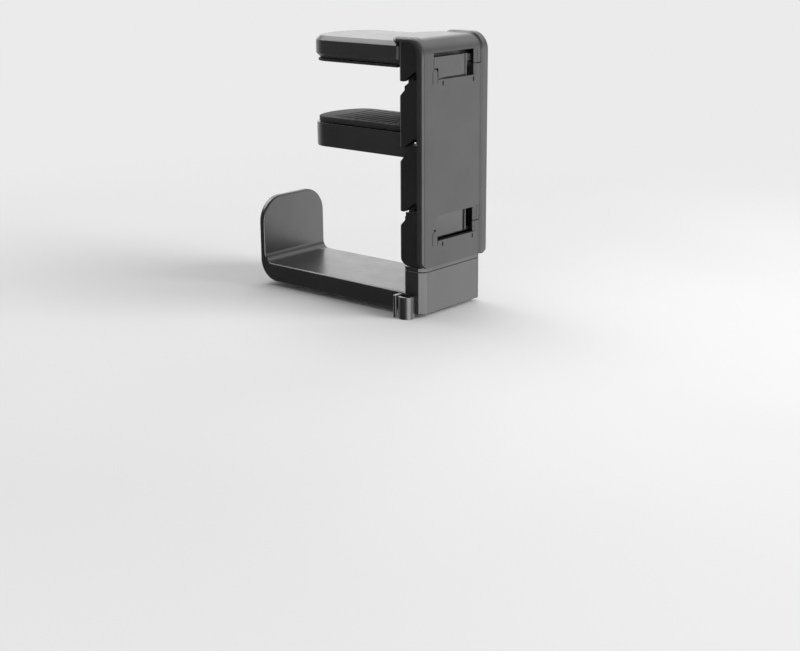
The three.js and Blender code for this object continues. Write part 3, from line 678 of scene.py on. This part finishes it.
def pan_screw(head, height, length):
    """A pan-head screw with a cross recess, head top at z = 0, tip downwards."""
    across, down = 0.35 * height, 0.62 * height
    turns = int((length - height - 1.6) / SCREW_PITCH)
    quarter = [math.pi / 2 * k / 6 for k in range(6, -1, -1)]
    dome = [(head - across + across * math.cos(a), -down + down * math.sin(a)) for a in quarter]
    ridges = []
    for i in range(turns):
        z = -height - 0.5 - SCREW_PITCH * i
        ridges += [(SCREW_THREAD - 0.22, z), (SCREW_THREAD, z - SCREW_PITCH / 2)]
    screw = turned([
        (0, 0), (head * 0.7, -0.02), *dome, (head, -height), (SCREW_THREAD, -height), *ridges,
        (SCREW_THREAD * 0.8, -length + 0.8), (SCREW_THREAD * 0.35, -length),
        (0, -length)], sides=40)
    long, wide = RECESS
    recess_low = -height * 0.7
    return cut(screw, block(-long, long, -wide, wide, recess_low, THROUGH),
               block(-wide, wide, -long, long, recess_low, THROUGH))


def place_screw(node_name, body, head, height, upside_down=False):
    """Stands a screw where its CAD node is."""
    low, high = box(node_name)
    middle = (low + high) / 2
    screw = pan_screw(head, height, high.z - low.z)
    if upside_down:
        moved(screw, middle.x, middle.y, low.z, Matrix.Rotation(math.pi, 4, "X"))
    else:
        moved(screw, middle.x, middle.y, high.z)
    return piece(screw, node_name + "_pan", body, "steel", node_name)


def upper_jaw():
    low, high = box("upper_jaw")
    half, rear, tip, bottom, top = high.x, low.y, high.y, low.z, high.z
    slab = prism(tip_plan(half, FIT, tip, 6), "Z", bottom, top)
    round_edges(slab, 2.0, segments=1)
    round_edges(slab, 0.3, segments=2, angle=30)
    root_half = box("clamp_frame")[1].x - WALL - FIT
    profile = outline([(rear, bottom), (3, bottom), (3, top), (rear, top, 4.5)], steps=8)
    join(slab, prism(profile, "X", -root_half, root_half))
    pocket_half = root_half - 1.5  # behind the upper window
    cut(slab, block(-pocket_half, pocket_half, rear - THROUGH, rear + 2.5, 4.4, 7.4))
    for x, y in JAW_SCREWS:
        cut(slab, moved(round_bar(SCREW_HOLE, 40), x, y, top),
            moved(round_bar(2.9, 4.4), x, y, top))
    round_edges(slab, 0.15, segments=2, angle=45)
    return piece(slab, "upper_jaw_slab", "clamp_body", "cover_plastic", "upper_jaw")


def grip_pad(node_name, face_up, name, body):
    """A rubber pad with shallow grip grooves on the face that meets the desk."""
    low, high = box(node_name)
    pad = prism(tip_plan(high.x, low.y, high.y, 5), "Z", low.z, high.z)
    round_edges(pad, 0.35, segments=3)
    face = high.z if face_up else low.z
    pitch, width, depth, margin = 4.2, 1.1, 0.45, 5
    for i in range(int((high.y - low.y - 2 * margin) / pitch)):
        y = low.y + margin + pitch * i
        reach = high.x - 3 - max(0, y - (high.y - 14)) * 0.8
        groove = rectangle(-reach, reach, y - width / 2, y + width / 2, width / 2 - 0.01, 6)
        cut(pad, prism(groove, "Z", face - depth, face + depth))
    round_edges(pad, 0.12, segments=2, angle=45)
    return piece(pad, name, body, "rubber", node_name)


KNUCKLE = 2.1  # radius of the jaw's hinge bars about the pin
PIN_RADIUS = 1.0
SPRING_X = 8.0
SPRING_ROOM = 3.4  # half width of the gap that holds a spring


def lower_jaw():
    low, high = box("lower_jaw")
    half, tip, bottom, top = high.x, high.y, low.z, high.z
    rear, past_tip = PIN.y + 1.8, tip + THROUGH
    side = outline([
        (rear, bottom, 2.5), (past_tip, bottom, 9), (past_tip, top), (rear, top, 1)], steps=12)
    jaw = prism(side, "X", -half, half)
    trim(jaw, prism(tip_plan(half, PIN.y - 4, tip, 6), "Z", bottom - THROUGH, top + THROUGH))
    round_edges(jaw, 0.7, segments=3, angle=50)
    knuckle = [*arc((PIN.y, PIN.z), KNUCKLE, 90, 270, 20),
               Vector((rear + 1, PIN.z - KNUCKLE)), Vector((rear + 1, PIN.z + KNUCKLE))]
    for x0, x1 in ((-half, -12), (-4, 4), (12, half)):
        join(jaw, prism(knuckle, "X", x0, x1))
    rooms = [block(x - SPRING_ROOM, x + SPRING_ROOM, rear - 4, PIN.y + 7,
                   bottom - THROUGH, PIN.z + 2.4)
             for x in (-SPRING_X, SPRING_X)]
    hole = arc((PIN.y, PIN.z), PIN_RADIUS, 0, 337.5, 15)
    cut(jaw, *rooms, prism(hole, "X", -half - THROUGH, half + THROUGH))
    round_edges(jaw, 0.15, segments=2, angle=45)
    return piece(jaw, "lower_jaw_slab", "jaw_body", "hook_plastic", "lower_jaw")


def jaw_pin():
    low, high = box("jaw_pin")
    radius, length, chamfer = (high.z - low.z) / 2, high.x - low.x, 0.3
    pin = turned([(0, 0), (radius - chamfer, 0), (radius, chamfer), (radius, length - chamfer),
                  (radius - chamfer, length), (0, length)], sides=40)
    moved(pin, low.x, PIN.y, PIN.z, Matrix.Rotation(math.pi / 2, 4, "Y"))
    return piece(pin, "jaw_pin_bar", "clamp_body", "steel", "jaw_pin")


def jaw_spring(side, word):
    """A torsion spring: a leg under the jaw, the coil about the pin, a leg down the frame's web."""
    coil, wire, turns, leg = 1.7, 0.4, 4.25, 6.0
    pitch = 2 * wire + 0.25
    steps, leg_steps = 160, 6
    points = [Vector((0, leg * (1 - k / leg_steps), coil)) for k in range(leg_steps)]
    for k in range(steps + 1):
        angle = math.pi / 2 + 2 * math.pi * turns * k / steps
        along = (k / steps) * turns * pitch
        points.append(Vector((along, coil * math.cos(angle), coil * math.sin(angle))))
    last = points[-1]
    points += [last - UP * (leg * k / leg_steps) for k in range(1, leg_steps + 1)]
    name, middle = f"jaw_spring_{word}", turns * pitch / 2
    places = [Vector((side * (SPRING_X + p.x - middle), PIN.y + p.y, PIN.z + p.z)) for p in points]
    spring = wire_along(places, wire, name + "_wire")
    spring.data.materials.clear()
    spring.data.materials.append(FINISH["steel"])
    smooth(spring, angle=60)
    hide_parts(name)
    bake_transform(spring)
    return spring


def wire_along(places, radius, name):
    """A round wire along a line of points, as a mesh."""
    curve = bpy.data.curves.new("wire", "CURVE")
    curve.dimensions = "3D"
    curve.bevel_depth = radius * MM
    curve.bevel_resolution = 4
    curve.use_fill_caps = True
    line = curve.splines.new("POLY")
    line.points.add(len(places) - 1)
    for target, place in zip(line.points, places):
        target.co = (*(place * MM), 1)
    holder = bpy.data.objects.new("wire", curve)
    bpy.context.scene.collection.objects.link(holder)
    depsgraph = bpy.context.evaluated_depsgraph_get()
    mesh = bpy.data.meshes.new_from_object(holder.evaluated_get(depsgraph))
    bpy.data.objects.remove(holder)
    made = bpy.data.objects.new(name, mesh)
    bpy.context.scene.collection.objects.link(made)
    return made


# ---------- swivel ----------

def swivel_collar():
    """The neck plate, with the spindle the block turns on and two screw bosses above."""
    low, high = box("swivel_collar")
    plate_top, sunk = box("clamp_frame")[0].z - FIT, 0.5
    plate = prism(block_plan(low, high), "Z", SWIVEL.z + FIT / 2, plate_top)
    round_edges(plate, 0.2, segments=2)
    root = plate_top - sunk
    spindle = moved(round_bar(3.4, root - low.z), 0, SWIVEL.y, (root + low.z) / 2)
    bosses = [moved(round_bar(3.0, high.z - root), x, SWIVEL.y, (high.z + root) / 2)
              for x in NECK_SCREWS]
    join(plate, spindle, *bosses)
    holes = [moved(round_bar(1.5, 20), x, SWIVEL.y, plate_top + 10) for x in NECK_SCREWS]
    cut(plate, moved(round_bar(2.3, 60), 0, SWIVEL.y, SWIVEL.z), *holes)
    return piece(plate, "swivel_collar_plate", "clamp_body", "hook_plastic", "swivel_collar")


def swivel_bolt():
    low, high = box("swivel_bolt")
    head_low, corner, outer, root, pitch = high.z - 2.8, 3.5, 2.0, 1.75, 0.7
    hexagon = arc((0, SWIVEL.y), corner, 30, 330, 5)
    head = prism(hexagon, "Z", head_low, high.z)
    chamfer = turned([
        (0, head_low - 1), (corner + 0.1, head_low - 1), (corner + 0.1, high.z - 0.45),
        (corner - 0.7, high.z), (0, high.z)], sides=64)
    trim(head, moved(chamfer, 0, SWIVEL.y, 0))
    ridges = []
    for i in range(int((head_low - low.z - 3) / pitch)):
        z = low.z + 0.5 + pitch * i
        ridges += [(outer, z), (root, z + pitch / 2)]
    shaft = turned([
        (0, low.z), (1.6, low.z), *ridges, (outer, head_low - 2), (outer, head_low + 0.5),
        (0, head_low + 0.5)], sides=40)
    join(head, moved(shaft, 0, SWIVEL.y, 0))
    return piece(head, "swivel_bolt_hex", "clamp_body", "steel", "swivel_bolt")


def carried_over(node_name, slot, width):
    """A hidden CAD piece kept as it is, with rounded edges and its own finish."""
    kept, angle = frame["nodes"][node_name], math.radians(40)
    kept.data.materials.clear()
    kept.data.materials.append(FINISH[slot])
    modifier = kept.modifiers.new("round", "BEVEL")
    modifier.width = width * MM
    modifier.segments = 2
    modifier.limit_method = "ANGLE"
    modifier.angle_limit = angle
    kept.data.polygons.foreach_set("use_smooth", [True] * len(kept.data.polygons))
    kept.data.set_sharp_from_angle(angle=angle)


# ---------- turning block, arm, paddle and cable clip ----------

ARM_TOP = -97.5  # upper face of the arm
BLOCK_BACK = -1.0
PADDLE_HALF = 20.6
PADDLE_THICK = 3
CLIP_TOP = -98.2  # upper end of the cable clip
ARM_ROOMS = ((0.4, 25), (26.8, 51), (52.8, 77.5))  # hollows under the arm


def hook_arm():
    low, high = box("hook_arm")
    bottom, block_top, paddle_top = low.z, SWIVEL.z - FIT / 2, high.z
    under, back, front = bottom - THROUGH, high.y, high.y - PADDLE_THICK
    block_high = Vector((high.x, BLOCK_BACK, block_top))
    turning = prism(block_plan(low, block_high), "Z", bottom, block_top)
    round_edges(turning, 0.25, segments=3)
    side = outline([
        (SWIVEL.y, bottom), (back, bottom, 10), (back, paddle_top), (front, paddle_top),
        (front, ARM_TOP, 4), (SWIVEL.y, ARM_TOP)], steps=14)
    face = outline([
        (-PADDLE_HALF, under), (PADDLE_HALF, under), (PADDLE_HALF, paddle_top, 12),
        (-PADDLE_HALF, paddle_top, 12)], steps=20)
    arm = prism(side, "X", -PADDLE_HALF, PADDLE_HALF)
    trim(arm, prism(face, "Y", SWIVEL.y - THROUGH, back + THROUGH))
    round_edges(arm, 0.9, segments=4)
    join(turning, arm)
    step = box("arm_bottom_cover")[1].z + FIT
    roof = box("swivel_collar")[0].z + 0.2
    rooms = [block(-19.1, 19.1, low.y + 1.5, BLOCK_BACK - 1.5, under, roof)]
    rooms += [block(-17.5, 17.5, y0, y1, under, ARM_TOP - 2.5) for y0, y1 in ARM_ROOMS]
    cut(turning, *rooms, prism(plate_plan(FIT), "Z", under, step))
    cut(turning, moved(round_bar(3.5, 12), 0, SWIVEL.y, block_top))
    clip_low, clip_high = box("cable_clip")
    cut(turning, block(low.x - THROUGH, clip_high.x + FIT, clip_low.y - FIT, clip_high.y + FIT,
                       under, CLIP_TOP + FIT))
    round_edges(turning, 0.15, segments=2, angle=45)
    return piece(turning, "hook_arm_moulding", "hook_body", "hook_plastic", "hook_arm")


def plate_plan(grow=0.0):
    """Plan of the bottom plate, wider in the block than along the arm."""
    low, high = box("arm_bottom_cover")
    wide, narrow, step = high.x + grow, 17.2 + grow, -2.6 + grow
    front, back = low.y - grow, high.y + grow
    return outline([
        (-wide, front), (wide, front), (wide, step), (narrow, step + wide - narrow),
        (narrow, back, 2), (-narrow, back, 2), (-narrow, step + wide - narrow),
        (-wide, step)], steps=8)


def arm_bottom_cover():
    low, high = box("arm_bottom_cover")
    face = low.z
    plate = prism(plate_plan(), "Z", face, high.z)
    round_edges(plate, 0.25, segments=3)
    for number in range(1, 5):
        screw_low, screw_high = box(f"arm_cover_screw_{number}")
        middle = (screw_low + screw_high) / 2
        cut(plate, moved(round_bar(SCREW_HOLE, 8), middle.x, middle.y, face),
            moved(round_bar(2.7, 2.2), middle.x, middle.y, face))
    outer = rectangle(-12.5, 12.5, 8, 62, radius=3, steps=8)
    inner = rectangle(-12.1, 12.1, 8.4, 61.6, radius=2.6, steps=8)
    engraved = prism(outer, "Z", face - THROUGH, face + 0.25)
    cut(plate, cut(engraved, prism(inner, "Z", face - 2, face + 1)))
    round_edges(plate, 0.1, segments=2, angle=45)
    return piece(plate, "arm_bottom_plate", "hook_body", "hook_plastic", "arm_bottom_cover")


def cable_clip():
    """A root set into the block, a curled finger and a straight one."""
    low, high = box("cable_clip")
    wall_x, block_low = box("hook_arm")[0].x, box("hook_arm")[0].z
    centre, outer, inner = (-22.8, -5.7), 3.7, 2.4
    clip = block(wall_x, high.x, low.y, high.y, block_low, CLIP_TOP)
    curled = [*arc(centre, outer, -55, -228, 40), *arc(centre, inner, -228, -55, 32)]
    root, end, thick, bend = wall_x + 0.5, -25.8, 1.9, 0.9
    straight = outline([
        (root, 0.0), (end, 0.0, bend), (end, -thick, bend), (root, -thick)], steps=8)
    join(clip, prism(curled, "Z", low.z, CLIP_TOP), prism(straight, "Z", low.z, CLIP_TOP))
    round_edges(clip, 0.22, segments=3, angle=45)
    return piece(clip, "cable_clip_moulding", "hook_body", "hook_plastic", "cable_clip")


# ---------- stage, light and camera ----------

BACKDROP = 0.83  # grey behind the object
REFLECTORS = (  # soft panels for glossy rays: direction, cosine at rim and when full, strength
    ((0.78, -0.58, -0.24), 0.82, 0.96, 2.2),
    ((-0.30, -0.93, -0.20), 0.80, 0.97, 6.5),
    ((0.66, 0.62, 0.36), 0.80, 0.97, 1.75),
    ((0.76, -0.20, 0.62), 0.90, 0.98, 1.8),
    ((0.20, 0.97, -0.15), 0.82, 0.96, 1.0),
    ((-0.16, 0.63, 0.75), 0.88, 0.98, 6.0),
)


def shader_choice(tree, amount, low, high):
    """One shader where the amount is 0 and the other where it is 1."""
    made = node(tree, "ShaderNodeMixShader", Fac=amount)
    tree.links.new(low, made.inputs[1])
    tree.links.new(high, made.inputs[2])
    return made.outputs["Shader"]


def pale_floor():
    """A pale floor that fades into the backdrop and isn't seen by glossy rays."""
    pale, tree, shader, where = material("floor")
    shade = noise(tree, where, scale=3, detail=2)
    mix = two_tone(tree, ramp(tree, shade, 0.0, 1.0, 0.4, 0.6), grey(0.50), grey(0.54))
    tree.links.new(mix.outputs["Result"], shader.inputs["Base Color"])
    shader.inputs["Roughness"].default_value = 0.9
    away = node(tree, "ShaderNodeVectorMath", set_operation="LENGTH")
    tree.links.new(where, away.inputs[0])
    glow = node(tree, "ShaderNodeEmission", Color=grey(BACKDROP))
    far = shader_choice(tree, ramp(tree, away.outputs["Value"], 0.0, 1.0, 0.12, 0.45),
                        shader.outputs["BSDF"], glow.outputs["Emission"])
    path = node(tree, "ShaderNodeLightPath")
    clear = node(tree, "ShaderNodeBsdfTransparent")
    seen = shader_choice(tree, path.outputs["Is Glossy Ray"], far, clear.outputs["BSDF"])
    out = next(n for n in tree.nodes if n.type == "OUTPUT_MATERIAL")
    tree.links.new(seen, out.inputs["Surface"])
    bm = bmesh.new()
    bmesh.ops.create_grid(bm, x_segments=2, y_segments=2, size=6.0)
    plane = new_object("floor", bm)
    plane.location = (0, 0, CAD_LOW.z)
    plane.data.materials.append(pale)


def studio():
    """A plain backdrop for the camera, reflectors for glossy rays, soft fill for the rest."""
    world = bpy.data.worlds.new("studio")
    bpy.context.scene.world = world
    world.use_nodes = True
    tree = world.node_tree
    tree.nodes.clear()
    direction = node(tree, "ShaderNodeTexCoord").outputs["Generated"]
    level = None
    for aim, rim, full, strength in REFLECTORS:
        facing = node(tree, "ShaderNodeVectorMath", set_operation="DOT_PRODUCT")
        tree.links.new(direction, facing.inputs[0])
        facing.inputs[1].default_value = Vector(aim).normalized()
        added = node(tree, "ShaderNodeMath", set_operation="ADD")
        if level is None:
            added.inputs[0].default_value = 0.10
        else:
            tree.links.new(level, added.inputs[0])
        panel = ramp(tree, facing.outputs["Value"], 0.0, strength, rim, full)
        tree.links.new(panel, added.inputs[1])
        level = added.outputs["Value"]
    panels = node(tree, "ShaderNodeBackground", Strength=level, Color=grey(1.0))
    plain = node(tree, "ShaderNodeBackground", Color=grey(BACKDROP), Strength=1.0)
    soft = node(tree, "ShaderNodeBackground", Color=grey(0.35), Strength=1.0)
    path = node(tree, "ShaderNodeLightPath")
    glossy = shader_choice(tree, path.outputs["Is Glossy Ray"],
                           soft.outputs["Background"], panels.outputs["Background"])
    seen = shader_choice(tree, path.outputs["Is Camera Ray"], glossy, plain.outputs["Background"])
    tree.links.new(seen, node(tree, "ShaderNodeOutputWorld").inputs["Surface"])


def soft_light(name, place, aim, size, power):
    """A square area light, in metres and watts."""
    data = bpy.data.lights.new(name, "AREA")
    data.shape = "RECTANGLE"
    data.size = size
    data.size_y = size
    data.energy = power
    light = bpy.data.objects.new(name, data)
    bpy.context.scene.collection.objects.link(light)
    light.location = place
    light.rotation_mode = "QUATERNION"
    light.rotation_quaternion = (Vector(aim) - Vector(place)).to_track_quat("-Z", "Y")
    return light


def camera():
    """The photograph's viewing angle."""
    data = bpy.data.cameras.new("camera")
    data.sensor_width = 36
    data.lens = 64.35
    data.clip_start = 0.01
    seen = bpy.data.objects.new("camera", data)
    bpy.context.scene.collection.objects.link(seen)
    seen.location = (-0.4832, -0.3992, 0.0665)
    heading, down, roll = math.radians(40.8), math.radians(16.4), math.radians(0.33)
    level = math.cos(down)
    ahead = Vector((math.cos(heading) * level, math.sin(heading) * level, -math.sin(down)))
    tilt = Matrix.Rotation(roll, 3, ahead).to_quaternion()
    seen.rotation_mode = "QUATERNION"
    seen.rotation_quaternion = tilt @ ahead.to_track_quat("-Z", "Y")
    bpy.context.scene.camera = seen


# ---------- build ----------

front_cover()
clamp_frame()
upper_jaw()
grip_pad("upper_jaw_pad", False, "upper_jaw_rubber", "clamp_body")
for word in ("left", "right"):
    place_screw(f"upper_jaw_screw_{word}", "clamp_body", head=2.6, height=1.6)
    place_screw(f"collar_screw_{word}", "clamp_body", head=4.0, height=1.6)
jaw_pin()
lower_jaw()
grip_pad("lower_jaw_pad", True, "lower_jaw_rubber", "jaw_body")
jaw_spring(-1, "left")
jaw_spring(1, "right")
swivel_collar()
swivel_bolt()
carried_over("friction_washer", "nylon", 0.1)
carried_over("wave_washer", "steel", 0.05)
carried_over("steel_washer", "steel", 0.08)
carried_over("swivel_nut", "steel", 0.15)
hook_arm()
arm_bottom_cover()
for number in range(1, 5):
    place_screw(f"arm_cover_screw_{number}", "hook_body", head=2.4, height=0.9, upside_down=True)
cable_clip()

pale_floor()
studio()
middle = (CAD_LOW + CAD_HIGH) / 2
soft_light("key", (0.35, -1.0, 0.45), middle, 0.7, 22).visible_glossy = False
soft_light("top", (0.3, 0.5, 1.2), middle, 1.2, 16)
camera()
bpy.context.scene.view_settings.view_transform = "Standard"
